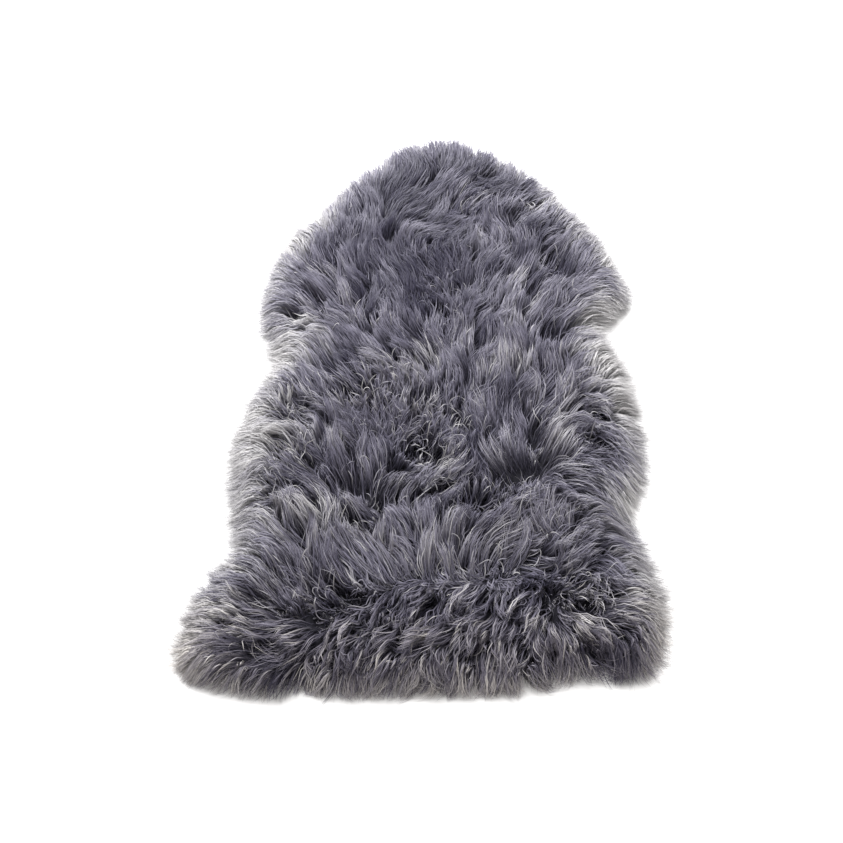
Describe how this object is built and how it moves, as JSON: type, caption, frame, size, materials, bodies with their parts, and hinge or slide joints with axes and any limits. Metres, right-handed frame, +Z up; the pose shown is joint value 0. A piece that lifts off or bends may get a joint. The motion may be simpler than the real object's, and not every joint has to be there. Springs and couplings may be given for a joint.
{
  "type": "sheepskin rug",
  "caption": "Long-wool sheepskin rug: a whole pelt lying flat, wool side up, in slate grey, with rounded neck, foreleg and hind-leg flares and a shaggy rim.",
  "frame": {"origin": "on the floor, under the middle of the rug's box", "axes": "+Z up, +Y from the tail to the neck, +X to the right as seen from the tail"},
  "size_m": [0.6252, 0.958, 0.0663],
  "materials": {
    "wool": "long soft wool with no gloss, slate grey with a faint violet tint, in loose locks with darker roots",
    "hide": "matt suede underside of the tanned hide"
  },
  "bodies": {
    "root": {"sheepskin": "wool"}
  },
  "joints": []
}
